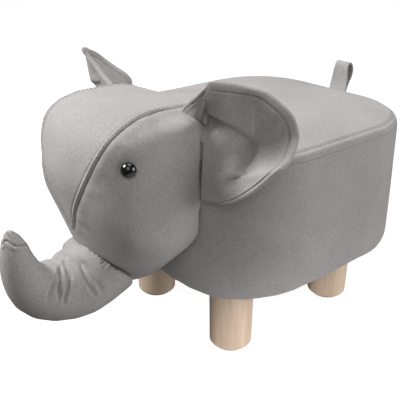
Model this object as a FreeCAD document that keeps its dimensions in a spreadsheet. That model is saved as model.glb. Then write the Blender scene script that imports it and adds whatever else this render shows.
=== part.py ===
import FreeCAD, Part
import math
import os

import Sketcher
from FreeCAD import Vector

sizes = {
    # seat
    "seat_setback": 88.0,
    "seat_width": 303.0,
    "seat_length": 328.4,
    "seat_corner": 104.0,
    "seat_flare": 3.0,
    "seat_edge": 263.0,
    "seat_shoulder": 10.0,
    "seat_crown": 8.0,
    "cloth": 1.5,
    "hem_width": 26.0,
    "soft_gap": 0.3,
    "foam_side": 14.0,
    "foam_top": 44.0,
    # frame
    "leg_height": 92.0,
    "dust_cloth": 0.8,
    "board_base": 15.0,
    "board_top": 12.0,
    "wall_sheet": 3.0,
    "post_side": 38.0,
    "fit_gap": 0.05,
    "screw_shank": 4.0,
    "screw_head": 8.0,
    "screw_head_depth": 3.0,
    "screw_length": 45.0,
    "staple_crown": 10.0,
    "staple_wire": 1.0,
    "staple_leg": 6.0,
    "staple_clear": 5.0,
    "dust_inset": 9.5,
    # legs
    "leg_side_share": 0.51881188,
    "leg_end_in": 72.7,
    "leg_forward": 12.2,
    "leg_top_width": 54.0,
    "leg_foot_width": 52.0,
    "leg_round": 4.0,
    "pad_width": 42.0,
    "pad_depth": 2.5,
    "bolt_width": 8.0,
    "bolt_length": 52.0,
    "bolt_in_leg": 29.0,
    "bolt_point": 4.0,
    "nut_flange": 22.0,
    "nut_flange_depth": 1.6,
    "nut_barrel": 10.0,
    "nut_barrel_depth": 11.0,
    # head
    "head_length": 109.8,
    "head_width": 184.0,
    "head_low": 80.0,
    "head_high": 312.0,
    "eye_width": 15.6,
    "eye_dome": 6.0,
    "eye_rim": 1.2,
    "eye_stem": 4.4,
    "eye_stem_length": 12.0,
    "eye_washer": 17.0,
    "eye_washer_depth": 1.4,
    "eye_drop": 45.0,
    "eye_ahead": 78.0,
    # trunk
    "trunk_reach": 98.0,
    "trunk_root": 47.0,
    "trunk_rise": 82.0,
    "trunk_low": 117.0,
    # ears
    "ear_root_x": 93.5,
    "ear_root_ahead": 3.2,
    "ear_bead": 3.6,
    "ear_thick": 6.0,
    "ear_low": 211.0,
    "ear_rise": 137.0,
    "ear_reach": 90.0,
    # tail
    "tail_width": 25.0,
    "tail_height": 41.0,
    "tail_strap": 1.8,
    "tail_loop": 10.0,
    "tail_sewn": 13.0,
    "tail_bead": 2.2,
}

doc = FreeCAD.newDocument("Footstool")
sheet = doc.addObject("Spreadsheet::Sheet", "Sizes")
for row, (alias, value) in enumerate(sizes.items(), 1):
    sheet.set("A%d" % row, alias.replace("_", " "))
    sheet.set("B%d" % row, str(value))
    sheet.setAlias("B%d" % row, alias)
doc.recompute()


def size(alias):
    return float(sheet.get(alias))


def bind(thing, **values):
    for prop, expression in values.items():
        thing.setExpression(prop.replace("__", "."), expression)
    return thing


def origin_plane(body, role):
    return next(f for f in body.Origin.OriginFeatures if f.Role == role)


def new_body(label, x="0 mm", y="0 mm", z="0 mm"):
    body = doc.addObject("PartDesign::Body", label)
    body.Label = label
    bind(body, Placement__Base__x=x, Placement__Base__y=y, Placement__Base__z=z)
    return body


def new_sketch(body, role):
    sketch = body.newObject("Sketcher::SketchObject", body.Name + "_sketch")
    sketch.AttachmentSupport = [(origin_plane(body, role), "")]
    sketch.MapMode = "FlatFace"
    return sketch


def dimension(sketch, kind, geo, pos, expression):
    """ties one point of a sketch to the origin along one axis"""
    value = float(sketch.evalExpression(expression))
    ends = (-1, 1, geo, pos) if value >= 0 else (geo, pos, -1, 1)
    number = sketch.addConstraint(Sketcher.Constraint(kind, *ends, abs(value)))
    sign = "" if value >= 0 else "-"
    sketch.setExpression("Constraints[%d]" % number, "%s(%s)" % (sign, expression))


def rounded_loop(sketch, half_x, half_y, corner):
    """rounded rectangle about the sketch origin, from three expressions"""
    a, b, r = (float(sketch.evalExpression(e)) for e in (half_x, half_y, corner))
    up = Vector(0, 0, 1)
    sides = [((r - a, -b), (a - r, -b)), ((a, r - b), (a, b - r)),
             ((a - r, b), (r - a, b)), ((-a, b - r), (-a, r - b))]
    middles = [(a - r, r - b), (a - r, b - r), (r - a, b - r), (r - a, r - b)]
    first = sketch.GeometryCount
    for turn, (side, middle) in enumerate(zip(sides, middles)):
        start, end = (Vector(p[0], p[1], 0) for p in side)
        sketch.addGeometry(Part.LineSegment(start, end))
        circle = Part.Circle(Vector(middle[0], middle[1], 0), up, r)
        begin = (turn - 1) * math.pi / 2
        sketch.addGeometry(Part.ArcOfCircle(circle, begin, begin + math.pi / 2))
    for step in range(8):
        ends = (first + step, 2, first + (step + 1) % 8, 1)
        sketch.addConstraint(Sketcher.Constraint("Tangent", *ends))
    for step in (0, 4):
        sketch.addConstraint(Sketcher.Constraint("Horizontal", first + step))
        sketch.addConstraint(Sketcher.Constraint("Vertical", first + step + 2))
    for step in (3, 5, 7):
        sketch.addConstraint(Sketcher.Constraint("Equal", first + 1, first + step))
    number = sketch.addConstraint(Sketcher.Constraint("Radius", first + 1, r))
    sketch.setExpression("Constraints[%d]" % number, corner)
    dimension(sketch, "DistanceX", first + 2, 1, half_x)
    dimension(sketch, "DistanceX", first + 6, 1, "-(%s)" % half_x)
    dimension(sketch, "DistanceY", first + 4, 1, half_y)
    dimension(sketch, "DistanceY", first, 1, "-(%s)" % half_y)


def round_holes(sketch, places, width):
    """circles at places given as pairs of expressions"""
    radius = float(sketch.evalExpression(width)) / 2
    for x, y in places:
        middle = Vector(float(sketch.evalExpression(x)), float(sketch.evalExpression(y)), 0)
        geo = sketch.addGeometry(Part.Circle(middle, Vector(0, 0, 1), radius))
        dimension(sketch, "DistanceX", geo, 3, x)
        dimension(sketch, "DistanceY", geo, 3, y)
        number = sketch.addConstraint(Sketcher.Constraint("Diameter", geo, 2 * radius))
        sketch.setExpression("Constraints[%d]" % number, width)


def plan(inset):
    """the seat's plan drawn in by an expression: half width, half length, corner"""
    return ("Sizes.seat_width / 2 - (%s)" % inset, "Sizes.seat_length / 2 - (%s)" % inset,
            "Sizes.seat_corner - (%s)" % inset)


def plate(label, inset, z, depth, holes=(), hole_width=None, hollow=None):
    """board of the seat's plan, with round holes or an inner loop left open"""
    body = new_body(label, y="Sizes.seat_setback", z=z)
    sketch = new_sketch(body, "XY_Plane")
    rounded_loop(sketch, *plan(inset))
    if hollow:
        rounded_loop(sketch, *plan(hollow))
    if holes:
        round_holes(sketch, holes, hole_width)
    pad = body.newObject("PartDesign::Pad", label + "_pad")
    pad.Profile = sketch
    bind(pad, Length=depth)
    body.Tip = pad
    return body


def turned(label, points, x, y, z):
    """a turned piece from its half profile, points as pairs of expressions"""
    body = new_body(label, x, y, z)
    sketch = new_sketch(body, "XZ_Plane")
    corners = [Vector(float(sketch.evalExpression(a)), float(sketch.evalExpression(b)), 0)
               for a, b in points]
    count = len(points)
    for step in range(count):
        sketch.addGeometry(Part.LineSegment(corners[step], corners[(step + 1) % count]))
    for step in range(count):
        ends = (step, 2, (step + 1) % count, 1)
        sketch.addConstraint(Sketcher.Constraint("Coincident", *ends))
    for step, (a, b) in enumerate(points):
        dimension(sketch, "DistanceX", step, 1, a)
        dimension(sketch, "DistanceY", step, 1, b)
    turn = body.newObject("PartDesign::Revolution", label + "_turn")
    turn.Profile = sketch
    turn.ReferenceAxis = (sketch, ["V_Axis"])
    body.Tip = turn
    return body


def group(label, members):
    bundle = doc.addObject("Part::Compound", label)
    bundle.Label = label
    bundle.Links = members
    return bundle


def shaped(label, shape):
    piece = doc.addObject("Part::Feature", label)
    piece.Label = label
    piece.Shape = shape
    return piece


# frame of the seat
nodes = []
side_signs = {"left": 1, "right": -1}
end_signs = {"front": -1, "back": 1}
corners = [(end, side) for end in end_signs for side in side_signs]

hem_z = "Sizes.leg_height + Sizes.dust_cloth"
base_z = hem_z + " + Sizes.cloth"
floor_z = base_z + " + Sizes.board_base"
deck_top_z = "Sizes.seat_edge - Sizes.foam_top"
deck_z = deck_top_z + " - Sizes.board_top"
wall_inset = "Sizes.cloth + Sizes.foam_side + 2 * Sizes.soft_gap"
board_inset = wall_inset + " + Sizes.wall_sheet + Sizes.fit_gap"


def leg_place(end, side, local=False):
    x = "%d * Sizes.seat_width * Sizes.leg_side_share / 2" % side_signs[side]
    y = "%d * (Sizes.seat_length / 2 - Sizes.leg_end_in) - Sizes.leg_forward" % end_signs[end]
    return (x, y) if local else (x, y + " + Sizes.seat_setback")


leg_places = [leg_place(end, side, True) for end, side in corners]

nodes.append(plate("base_board", board_inset, base_z, "Sizes.board_base", leg_places,
                   "Sizes.nut_barrel + 2 * Sizes.fit_gap"))
nodes.append(plate("top_board", board_inset, deck_z, "Sizes.board_top"))
nodes.append(plate("side_wall", wall_inset, base_z, deck_top_z + " - (" + base_z + ")",
                   hollow=wall_inset + " + Sizes.wall_sheet"))
nodes.append(plate("dust_cover", "Sizes.dust_inset", "Sizes.leg_height",
                   "Sizes.dust_cloth", leg_places, "Sizes.bolt_width + 2 * Sizes.soft_gap"))

screws = []
for end, side in corners:
    # each post stands in the corner inboard of its leg
    x, y = ("%d * (Sizes.seat_width * Sizes.leg_side_share / 2 - Sizes.post_side)" % side_signs[side],
            "%d * (Sizes.seat_length / 2 - Sizes.leg_end_in) - Sizes.leg_forward + Sizes.seat_setback" % end_signs[end])
    post = doc.addObject("Part::Box", "post_%s_%s" % (end, side))
    post.Label = post.Name
    bind(post, Length="Sizes.post_side", Width="Sizes.post_side",
         Height="(%s) - (%s)" % (deck_z, floor_z), Placement__Base__x=x + " - Sizes.post_side / 2",
         Placement__Base__y=y + " - Sizes.post_side / 2", Placement__Base__z=floor_z)
    nodes.append(post)
    profile = [("0", "0"), ("Sizes.screw_head / 2", "0"),
               ("Sizes.screw_shank / 2", "Sizes.screw_head_depth"),
               ("Sizes.screw_shank / 2", "Sizes.screw_length - Sizes.screw_shank"),
               ("0", "Sizes.screw_length")]
    low = turned("screw_low_%s_%s" % (end, side), profile, x, y, base_z)
    high = turned("screw_high_%s_%s" % (end, side),
                  [("0", "Sizes.screw_length"),
                   ("Sizes.screw_head / 2", "Sizes.screw_length"),
                   ("Sizes.screw_shank / 2", "Sizes.screw_length - Sizes.screw_head_depth"),
                   ("Sizes.screw_shank / 2", "Sizes.screw_shank"), ("0", "0")],
                  x, y, deck_top_z + " - Sizes.screw_length")
    screws += [low, high]
nodes.append(group("frame_screws", screws))

# legs with their bolts, nuts and pads
nuts = []
for end, side in corners:
    x, y = leg_place(end, side)
    tag = "%s_%s" % (end, side)
    bore = "Sizes.bolt_width / 2 + Sizes.fit_gap"
    bore_floor = "Sizes.leg_height - Sizes.bolt_in_leg - Sizes.fit_gap"
    leg = turned("leg_" + tag, [
        ("0", "Sizes.pad_depth"), ("Sizes.leg_foot_width / 2", "Sizes.pad_depth"),
        ("Sizes.leg_top_width / 2", "Sizes.leg_height"), (bore, "Sizes.leg_height"),
        (bore, bore_floor), ("0", bore_floor)], x, y, "0 mm")
    doc.recompute()
    foot = size("pad_depth")
    plain = leg.Tip
    rim = next("Edge%d" % n for n, e in enumerate(plain.Shape.Edges, 1)
               if len(e.Vertexes) == 1 and abs(e.CenterOfMass.z - foot) < size("fit_gap"))
    soften = leg.newObject("PartDesign::Fillet", leg.Name + "_soften")
    soften.Base = (plain, [rim])
    bind(soften, Radius="Sizes.leg_round")
    leg.Tip = soften
    nodes.append(leg)
    pad = doc.addObject("Part::Cylinder", "foot_pad_" + tag)
    pad.Label = pad.Name
    bind(pad, Radius="Sizes.pad_width / 2", Height="Sizes.pad_depth",
         Placement__Base__x=x, Placement__Base__y=y)
    nodes.append(pad)
    nodes.append(turned("hanger_bolt_" + tag, [
        ("0", "0"), ("Sizes.bolt_width / 8", "0"), ("Sizes.bolt_width / 2", "Sizes.bolt_point"),
        ("Sizes.bolt_width / 2", "Sizes.bolt_length"), ("0", "Sizes.bolt_length")],
        x, y, "Sizes.leg_height - Sizes.bolt_in_leg"))
    nuts.append(turned("t_nut_" + tag, [
        (bore, "0"), ("Sizes.nut_barrel / 2", "0"),
        ("Sizes.nut_barrel / 2", "Sizes.nut_barrel_depth"),
        ("Sizes.nut_flange / 2", "Sizes.nut_barrel_depth"),
        ("Sizes.nut_flange / 2", "Sizes.nut_barrel_depth + Sizes.nut_flange_depth"),
        (bore, "Sizes.nut_barrel_depth + Sizes.nut_flange_depth")],
        x, y, floor_z + " - Sizes.nut_barrel_depth"))
nodes.append(group("t_nuts", nuts))
doc.recompute()

# soft covering of the seat
seat_y = size("seat_setback")
half_x, half_y, corner = size("seat_width") / 2, size("seat_length") / 2, size("seat_corner")
hem = size("leg_height") + size("dust_cloth")
edge, crown, cloth, gap = size("seat_edge"), size("seat_crown"), size("cloth"), size("soft_gap")
shoulder = size("seat_shoulder")


def arc(start, through, end):
    return Part.Arc(Vector(*start), Vector(*through), Vector(*end)).toShape()


def line(start, end):
    return Part.makeLine(Vector(*start), Vector(*end))


def plan_wire(inset, z):
    """the seat's plan at a height, drawn in or let out"""
    a, b, r = half_x - inset, half_y - inset, corner - inset
    lean = r * math.sqrt(0.5)
    edges = []
    for sx, sy in ((1, 1), (-1, 1), (-1, -1), (1, -1)):
        cx, cy = sx * (a - r), sy * (b - r) + seat_y
        on_x = (cx + sx * r, cy, z)
        on_y = (cx, cy + sy * r, z)
        middle = (cx + sx * lean, cy + sy * lean, z)
        if sx * sy > 0:
            edges += [arc(on_x, middle, on_y), line(on_y, (-cx, cy + sy * r, z))]
        else:
            edges += [arc(on_y, middle, on_x), line(on_x, (on_x[0], 2 * seat_y - cy, z))]
    return Part.Wire(edges)


side_rows = [(0.0, 0.4), (0.04, 0.9), (0.1, 1.0), (0.5, 0.72), (0.8, 0.3), (1.0, 0.0)]
crown_shares = [(0.1, 0.03), (0.5, 0.12), (0.78, 0.32), (0.94, 0.6), (1.0, 0.84)]


def seat_form(inset, low, top_drop):
    """outside of the padded seat drawn in by inset, from a height up to its crown"""
    side_top = edge - shoulder
    wires = []
    for share, flare in side_rows:
        z = hem + share * (side_top - hem)
        if z > low:
            wires.append(plan_wire(inset - flare * size("seat_flare"), z))
        elif not wires:
            wires.append(plan_wire(inset - flare * size("seat_flare"), low))
    for step in (30, 60, 90):
        turn = math.radians(step)
        drawn = shoulder * (1 - math.cos(turn))
        rise = shoulder * math.sin(turn) - top_drop * step / 90
        wires.append(plan_wire(inset + drawn * 0.7, side_top + rise))
    for rise, share in crown_shares:
        drawn = inset + shoulder * 0.7 + share * (half_x - shoulder)
        wires.append(plan_wire(min(drawn, corner - cloth), edge + rise * crown - top_drop))
    return Part.makeLoft(wires, True, True)


def slab(low, high):
    wide, long = 3 * half_x, 6 * half_y
    return Part.makeBox(2 * wide, 2 * long, high - low, Vector(-wide, seat_y - long, low))


outside = seat_form(0, hem, 0)
lining = seat_form(cloth, hem, cloth)
seam_z = edge
jacket = outside.cut(lining)
top_cover = jacket.common(slab(seam_z, edge + 2 * crown))
hem_ring = plan_wire(-side_rows[0][1] * size("seat_flare"), hem)
hem_hole = plan_wire(size("hem_width"), hem)
turn_under = Part.Face([hem_ring, hem_hole]).extrude(Vector(0, 0, cloth))
band = jacket.common(slab(hem, seam_z)).fuse(turn_under).removeSplitter()
nodes += [shaped("seat_top_cover", top_cover), shaped("side_band", band)]

deck_top = edge - size("foam_top")
base_low = hem + cloth
foam_form = seat_form(cloth + gap, base_low + gap, cloth + gap)
wall_hole = plan_wire(cloth + size("foam_side") + gap, base_low + gap)
core = Part.Face(wall_hole).extrude(Vector(0, 0, deck_top - base_low))
side_foam = foam_form.common(slab(base_low + gap, deck_top)).cut(core)
seat_foam = foam_form.common(slab(deck_top + gap, edge + 2 * crown))
nodes += [shaped("seat_foam", seat_foam), shaped("side_foam", side_foam)]


def staple(x, y, turn):
    wire, span, leg = size("staple_wire"), size("staple_crown"), size("staple_leg")
    low = size("leg_height") - wire
    bar = Part.makeBox(span, wire, wire, Vector(-span / 2, -wire / 2, low))
    ends = [Part.makeBox(wire, wire, leg, Vector(s * (span - wire) / 2 - wire / 2, -wire / 2, low))
            for s in (-1, 1)]
    piece = bar.fuse(ends).removeSplitter()
    piece.Placement = FreeCAD.Placement(Vector(x, y, 0), FreeCAD.Rotation(Vector(0, 0, 1), turn))
    return piece


# in the base board's edge, clear of the legs at whatever place they stand
board_edge = cloth + size("foam_side") + 2 * gap + size("wall_sheet") + size("fit_gap")
staple_in = board_edge + size("staple_clear")
beside_leg = (size("leg_top_width") + size("staple_crown")) / 2 + size("staple_clear")
row_x = half_x * size("leg_side_share") - beside_leg
row_y = half_y - size("leg_end_in") - beside_leg
leg_y = seat_y - size("leg_forward")
staples = []
for step in (-1, 0, 1):
    for way in (-1, 1):
        staples.append(staple(step * row_x, seat_y + way * (half_y - staple_in), 0))
        staples.append(staple(way * (half_x - staple_in), leg_y + step * row_y, 90))
nodes.append(shaped("dust_cover_staples", Part.makeCompound(staples)))

# head: sections across the head, back to front
front_y = seat_y - half_y
head_len, head_half = size("head_length"), size("head_width") / 2
head_low, head_tall = size("head_low"), size("head_high") - size("head_low")
# share of length, half width, top, underside, seam half width, seam drop
head_shares = [
    (-0.47, 0.62, 0.828, 0.40, 0.42, 0.030),
    (-0.33, 0.82, 0.950, 0.20, 0.56, 0.026),
    (-0.17, 0.93, 0.982, 0.12, 0.62, 0.020),
    (0.03, 0.985, 0.993, 0.08, 0.64, 0.016),
    (0.25, 1.00, 1.000, 0.06, 0.63, 0.014),
    (0.47, 0.99, 0.998, 0.08, 0.67, 0.016),
    (0.69, 0.92, 0.966, 0.16, 0.685, 0.020),
    (0.83, 0.79, 0.920, 0.31, 0.66, 0.030),
    (0.92, 0.64, 0.862, 0.45, 0.56, 0.050),
    (0.975, 0.44, 0.785, 0.57, 0.38, 0.050),
    (1.0, 0.20, 0.735, 0.64, 0.12, 0.010),
]
cheek_share, upper_shares, jaw_shares = 0.50, (0.955, 0.72), (0.64, 0.18)


def mirror(shape):
    return shape.mirror(Vector(0, 0, 0), Vector(1, 0, 0))


def between(table, steps):
    """the rows of a table of shares with smooth rows put in between them"""
    rows = []
    for n in range(len(table) - 1):
        before, start, end, after = (table[min(max(k, 0), len(table) - 1)] for k in range(n - 1, n + 3))
        for step in range(steps):
            u = step / steps
            rows.append(tuple(
                b + 0.5 * u * (c - a + u * (2 * a - 5 * b + 4 * c - d + u * (3 * (b - c) + d - a)))
                for a, b, c, d in zip(before, start, end, after)))
    return rows + [table[-1]]


def swept_form(rows):
    """closed form from rows of points, each row running down one side from the middle"""
    wires = []
    for row in rows:
        curve = Part.BSplineCurve()
        last = len(row) - 1
        curve.interpolate(Points=[Vector(*point) for point in row],
                          Parameters=[n / last for n in range(last + 1)])
        half = curve.toShape()
        back = Part.BSplineCurve()
        back.interpolate(Points=[Vector(-x, y, z) for x, y, z in reversed(row)],
                         Parameters=[n / last for n in range(last + 1)])
        wires.append(Part.Wire([half, back.toShape()]))
    return Part.makeLoft(wires, True, True)


def head_row(row, inset):
    along, wide, top, under, seam, drop = row
    y = front_y - along * head_len + (inset if along > cheek_share else 0)
    w = wide * head_half - inset
    high, low = head_low + top * head_tall - inset, head_low + under * head_tall + inset
    tall = high - low
    g, fall = seam * head_half - inset * 0.6, drop * head_tall
    mid = low + cheek_share * tall
    seam_z = high - fall
    jaw_x, jaw_z = jaw_shares[0] * w, low + jaw_shares[1] * tall
    upper = mid + upper_shares[1] * (seam_z - mid)
    return [(0, y, high), (0.5 * g, y, high - 0.25 * fall), (g, y, seam_z),
            (0.45 * g + 0.55 * upper_shares[0] * w, y, 0.3 * upper + 0.7 * seam_z),
            (upper_shares[0] * w, y, upper), (w, y, mid),
            (0.955 * w, y, mid - 0.55 * (mid - jaw_z)), (jaw_x, y, jaw_z),
            (0.5 * jaw_x, y, low + 0.3 * (jaw_z - low)), (0, y, low)]


def head_form(inset):
    return swept_form([head_row(row, inset) for row in between(head_shares, 2)])


seat_block = seat_form(-gap, hem, -gap)
head_outside = head_form(0)
head_block = head_form(-gap)
head_skin = head_outside.cut(seat_block).cut(head_form(cloth))
head_fill = head_form(cloth + gap).cut(seat_block)

# forehead panel: its outline seen from the front
seam_shares = [(0.03, 0.44), (0.217, 0.5565), (0.41, 0.665), (0.53, 0.7565), (0.62, 0.839),
               (0.67, 0.909), (0.685, 0.955), (0.65, 0.99)]
seam_points = [Vector(x * head_half, 0, head_low + z * head_tall) for x, z in seam_shares]
curve = Part.BSplineCurve()
curve.interpolate(seam_points)
far_y, near_y = front_y + head_len, front_y - 2 * head_len
over = head_low + 1.2 * head_tall


top_x = seam_points[-1].x
seam_edge = curve.toShape()
cap = [line((top_x, 0, seam_points[-1].z), (top_x, 0, over)), line((top_x, 0, over), (-top_x, 0, over)),
       line((-top_x, 0, over), (-top_x, 0, seam_points[-1].z))]
chin_x = seam_points[0].x
foot_line = line((-chin_x, 0, seam_points[0].z), (chin_x, 0, seam_points[0].z))
panel_face = Part.Face(Part.Wire(Part.__sortEdges__([seam_edge, mirror(seam_edge), foot_line] + cap)))
panel_face.translate(Vector(0, near_y, 0))
panel_prism = panel_face.extrude(Vector(0, far_y - near_y, 0))
gusset = head_skin.common(panel_prism)
cheeks = head_skin.cut(panel_prism)
half_box = Part.makeBox(3 * half_x, 8 * half_y, 4 * head_tall,
                        Vector(0, seat_y - 4 * half_y, head_low - head_tall))

# eyes, square to the cheek
eye_z = size("head_high") - size("eye_drop")
eye_y = front_y - size("eye_ahead")
inside = Vector(0, eye_y, eye_z)
probe = Part.makeLine(inside, inside + Vector(2 * head_half, 0, 0)).common(head_outside)
skin_at = max((v.Point for v in probe.Vertexes), key=lambda p: p.x)
face_at = min(head_outside.Faces, key=lambda f: f.distToShape(Part.Vertex(skin_at))[0])
eye_aim = face_at.normalAt(*face_at.Surface.parameter(skin_at))
if eye_aim.x < 0:
    eye_aim = eye_aim * -1
eye_r = size("eye_width") / 2
seat_out = eye_r * eye_r / head_half
eye_base = skin_at + eye_aim * seat_out


def spun(outline, place):
    """solid turned about the eye's axis from edges in its local x, z"""
    face = Part.Face(Part.Wire(outline))
    solid = face.revolve(Vector(0, 0, 0), Vector(0, 0, 1), 360)
    solid.Placement = FreeCAD.Placement(place, FreeCAD.Rotation(Vector(0, 0, 1), eye_aim))
    return solid


def rod(radius, start, end):
    """cylinder along the eye's axis between two depths from the skin, outward positive"""
    return Part.makeCylinder(radius, end - start, skin_at + eye_aim * start, eye_aim)


def eye_shapes():
    rim, dome, stem_r = size("eye_rim"), size("eye_dome"), size("eye_stem") / 2
    stem_end = -size("eye_stem_length")
    ball_r = (eye_r * eye_r + dome * dome) / (2 * dome)
    lean = 0.5 * math.asin(min(1, eye_r / ball_r))
    top = rim + dome
    on_dome = (ball_r * math.sin(lean), 0, top - ball_r + ball_r * math.cos(lean))
    corners = [(0, 0, top), (0, 0, stem_end), (stem_r, 0, stem_end), (stem_r, 0, 0), (eye_r, 0, 0),
               (eye_r, 0, rim)]
    outline = [line(p, q) for p, q in zip(corners, corners[1:])]
    outline.append(arc(corners[-1], on_dome, corners[0]))
    eye = spun(outline, eye_base)
    back = -(cloth + 2 * seat_out + 2 * gap)
    depth, washer_r = size("eye_washer_depth"), size("eye_washer") / 2
    washer = rod(washer_r, back - depth, back).cut(rod(stem_r, back - 2 * depth, back + depth))
    hole = rod(stem_r + gap, -4 * cloth, 4 * cloth)
    room = rod(washer_r + gap, back - depth - gap, 4 * cloth)
    pit = rod(stem_r + gap, stem_end - gap, 0)
    return eye, washer, hole, room.fuse(pit)


eye, washer, eye_hole, eye_room = eye_shapes()
cheek = cheeks.common(half_box).cut(eye_hole)

# trunk: round sections along its bend, root first
trunk_reach, trunk_root = size("trunk_reach"), size("trunk_root")
trunk_low, trunk_rise = size("trunk_low"), size("trunk_rise")
# share of reach, share of rise above the bend, radius share, lean of the section in degrees
trunk_shares = [
    (-0.30, 0.42, 1.0, 34), (0.0, 0.15, 0.93, 32), (0.36, -0.055, 0.82, 22), (0.64, -0.02, 0.73, -8),
    (0.84, 0.14, 0.59, -48), (0.94, 0.40, 0.45, -72), (0.975, 0.68, 0.34, -84),
    (0.985, 0.90, 0.22, -90), (0.985, 1.0, 0.07, -90),
]
trunk_y = front_y - 0.66 * head_len


def trunk_form(inset):
    rows = []
    for ahead, rise, share, lean in between(trunk_shares, 2):
        y = trunk_y - ahead * trunk_reach
        z = trunk_low + rise * trunk_rise - (inset if rise == trunk_shares[-1][1] else 0)
        r = share * trunk_root - inset
        turn = math.radians(lean)
        row = []
        for step in range(9):
            around = math.pi * step / 8
            raised = r * math.cos(around)
            row.append((r * math.sin(around), y - raised * math.sin(turn), z + raised * math.cos(turn)))
        rows.append(row)
    return swept_form(rows)


trunk_outside = trunk_form(0).cut(head_block).cut(seat_block)
trunk_skin = trunk_outside.cut(trunk_form(cloth))
trunk_fill = trunk_form(cloth + gap).cut(head_block).cut(seat_block)
trunk_left = trunk_skin.common(half_box)

head_fill = head_fill.cut(eye_room).cut(mirror(eye_room))
nodes += [shaped("head_stuffing", head_fill), shaped("forehead_gusset", gusset),
          shaped("trunk_stuffing", trunk_fill)]
for side in side_signs:
    pieces = [("cheek_", cheek), ("trunk_skin_", trunk_left), ("eye_", eye), ("eye_washer_", washer)]
    for name, shape in pieces:
        nodes.append(shaped(name + side, shape if side == "left" else mirror(shape)))

# ears: level sections from the root out to the free edge
root_x, root_y = size("ear_root_x"), front_y + size("ear_root_ahead")
ear_low, ear_rise, ear_reach = size("ear_low"), size("ear_rise"), size("ear_reach")
ear_half = size("ear_thick") / 2
# share of rise, then inner and outer ends from the root and the bow forward, shares of reach
ear_shares = [
    (0.0, 0.0, 0.0, 0.08, 0.03, 0.0), (0.08, 0.0, 0.0, 0.25, 0.16, 0.02),
    (0.21, 0.0, 0.0, 0.53, 0.38, 0.05), (0.34, 0.0, 0.0, 0.64, 0.56, 0.06),
    (0.43, 0.03, -0.02, 0.69, 0.69, 0.06), (0.56, 0.09, -0.07, 0.70, 0.75, 0.03),
    (0.66, 0.17, -0.11, 0.73, 0.65, 0.02), (0.72, -0.30, -0.045, 0.79, 0.53, 0.10),
    (0.80, -0.14, -0.065, 0.87, 0.40, 0.12), (0.87, 0.01, -0.09, 0.92, 0.28, 0.11),
    (0.95, 0.19, -0.13, 0.81, 0.18, 0.06), (1.0, 0.255, -0.15, 0.62, 0.07, 0.03),
]
# the right ear lies about ten degrees further back, and its top slopes down from its tip
ear_back_shares = ear_shares[:4] + [
    (0.43, 0.03, -0.02, 0.653, 0.725, 0.06), (0.56, 0.09, -0.07, 0.589, 0.84, 0.04),
    (0.66, 0.17, -0.11, 0.606, 0.767, 0.02), (0.72, -0.30, -0.045, 0.695, 0.65, 0.10),
    (0.80, -0.14, -0.065, 0.80, 0.54, 0.12), (0.87, 0.01, -0.09, 0.868, 0.43, 0.11),
    (0.95, 0.19, -0.13, 0.60, 0.13, 0.05), (1.0, 0.255, -0.15, 0.33, -0.045, 0.0),
]
ear_tables = {"left": ear_shares, "right": ear_back_shares}
ear_rise_shares = {"left": 1.0, "right": 0.945}


def ear_wire(row, rise_share):
    rise, inner_x, inner_y, outer_x, outer_y, bow = row
    z = ear_low + rise * rise_share * ear_rise
    start = Vector(root_x + inner_x * ear_reach, root_y + inner_y * ear_reach, z)
    end = Vector(root_x + outer_x * ear_reach, root_y + outer_y * ear_reach, z)
    along = (end - start).normalize()
    ahead = Vector(along.y, -along.x, 0)
    middle = (start + end) / 2 + ahead * (bow * ear_reach)
    thin = ear_half * 0.5
    front = [start + ahead * thin, middle + ahead * ear_half, end + ahead * thin]
    back = [end - ahead * thin, middle - ahead * ear_half, start - ahead * thin]
    return Part.Wire([Part.Arc(*front).toShape(), Part.makeLine(front[-1], back[0]),
                      Part.Arc(*back).toShape(), Part.makeLine(back[-1], front[0])])


bead_share = 0.40
for side in side_signs:
    leaf = Part.makeLoft([ear_wire(row, ear_rise_shares[side]) for row in ear_tables[side]], True, True)
    bead = Part.makeCylinder(size("ear_bead"), bead_share * ear_rise, Vector(root_x, root_y, ear_low))
    ear = leaf.fuse(bead).removeSplitter()
    nodes.append(shaped("ear_" + side, ear if side == "left" else mirror(ear)))

# tail: a strap folded into a loop, its two ends sewn together at the seat's back edge
strap, loop, sewn = size("tail_strap"), size("tail_loop"), size("tail_sewn")
tail_tall, tail_bead = size("tail_height"), size("tail_bead")
tail_y = seat_y + half_y
tail_z = edge - 0.15 * shoulder


def loop_wire(grow):
    """side view of the loop through the middle of the strap, let out or drawn in"""
    low, high = tail_z + sewn - grow * 1.6, tail_z + tail_tall - strap / 2 + grow
    wide = loop / 2 + grow
    belly = tail_z + sewn + 0.62 * (tail_tall - sewn)
    left, right = (0, tail_y - wide, belly), (0, tail_y + wide, belly)
    foot = (0, tail_y, low)
    blend = 0.5 * (low + belly)
    return Part.Wire([arc(foot, (0, tail_y + 0.62 * wide, blend), right),
                      arc(right, (0, tail_y + 0.6 * wide, 0.3 * belly + 0.7 * high), (0, tail_y, high)),
                      arc((0, tail_y, high), (0, tail_y - 0.6 * wide, 0.3 * belly + 0.7 * high), left),
                      arc(left, (0, tail_y - 0.62 * wide, blend), foot)])


tail_half = size("tail_width") / 2
ring = Part.Face([loop_wire(strap / 2), loop_wire(-strap / 2)])
stem = Part.makeBox(2 * tail_half, 2 * strap, sewn, Vector(-tail_half, tail_y - strap, tail_z))
ring.translate(Vector(-tail_half, 0, 0))
tail = ring.extrude(Vector(2 * tail_half, 0, 0)).fuse(stem)
tail_root = Part.makeCylinder(tail_bead, 2 * tail_half, Vector(-tail_half, tail_y, tail_z), Vector(1, 0, 0))
tail = tail.fuse(tail_root).removeSplitter()
nodes.append(shaped("tail_strap", tail))

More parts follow.
